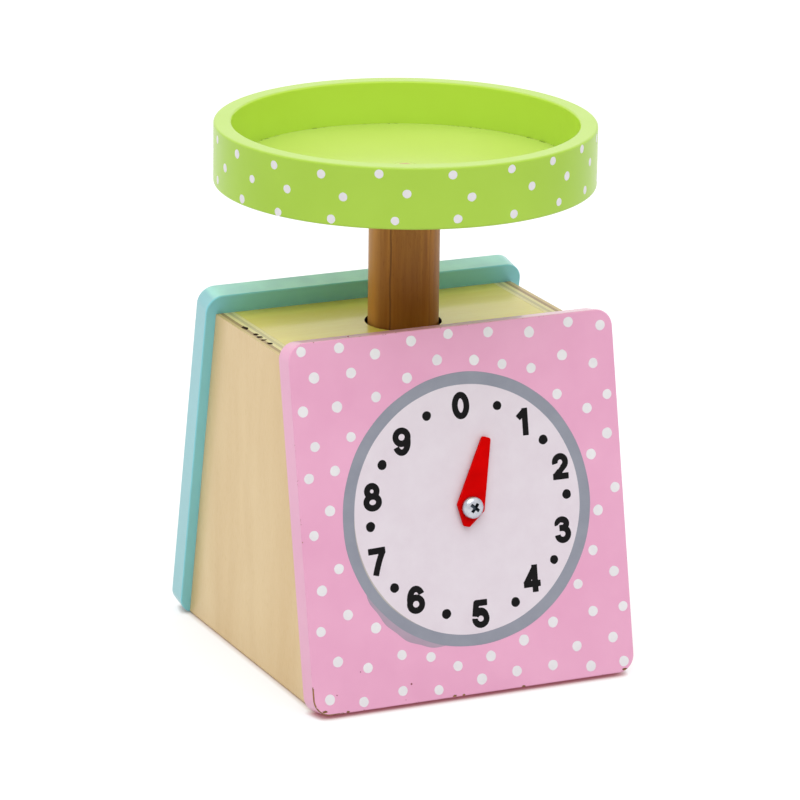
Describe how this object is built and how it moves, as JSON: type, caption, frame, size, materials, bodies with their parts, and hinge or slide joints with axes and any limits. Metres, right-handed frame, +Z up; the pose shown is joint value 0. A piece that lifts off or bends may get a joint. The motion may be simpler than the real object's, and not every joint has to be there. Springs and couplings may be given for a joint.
{
  "type": "toy kitchen scale",
  "caption": "Wooden toy kitchen scale: a round tray on a sprung post above a plywood box with leaning painted boards, a numbered dial and a pointer turned by hand.",
  "frame": {"origin": "on the floor under the post's axis, the middle of the box's base", "axes": "+Z up along the post, -Y out of the dial's side, +X to the right of someone who reads the dial"},
  "size_m": [0.1334, 0.1334, 0.1908],
  "materials": {
    "pink_paint": "satin pink paint with white dots",
    "mint_paint": "satin mint paint",
    "green_paint": "satin lime green paint",
    "birch_plywood": "clear satin varnish",
    "stained_wood": "brown stain, satin",
    "beech": "bare wood",
    "red_plastic": "satin red",
    "zinc_steel": "bright zinc plating"
  },
  "bodies": {
    "housing": {"front_board": "pink_paint", "back_board": "mint_paint", "left_side": "birch_plywood", "right_side": "birch_plywood", "top_board": "birch_plywood", "bottom_board": "birch_plywood", "front_pegs": "beech", "back_pegs": "beech", "guide_block": "beech", "guide_screws": "zinc_steel", "spring": "zinc_steel", "pointer_spacer": "zinc_steel", "pointer_screw": "zinc_steel", "nut_washer": "zinc_steel", "pointer_nut": "zinc_steel"},
    "plunger": {"spring_washer": "zinc_steel"},
    "tray": {"tray_rim": "green_paint", "tray_floor": "green_paint", "tray_screw": "zinc_steel", "screw_plug": "green_paint", "post": "stained_wood", "retaining_pin": "beech"},
    "pointer": {"pointer": "red_plastic"}
  },
  "joints": [
    {"name": "tray_press", "type": "slide", "parent": "housing", "child": "plunger", "axis": [0, 0, 1], "range_m": [-0.015, 0], "stiffness_N_per_m": 450, "springref_m": 0.0075, "deforming": ["spring"]},
    {"name": "tray_spin", "type": "hinge", "parent": "plunger", "child": "tray", "pos_m": [0, 0, 0.0583], "axis": [0, 0, 1], "continuous": true},
    {"name": "pointer_turn", "type": "hinge", "parent": "housing", "child": "pointer", "pos_m": [0.0018, -0.05212, 0.0656], "axis": [0, -0.9803, 0.1977], "continuous": true}
  ]
}
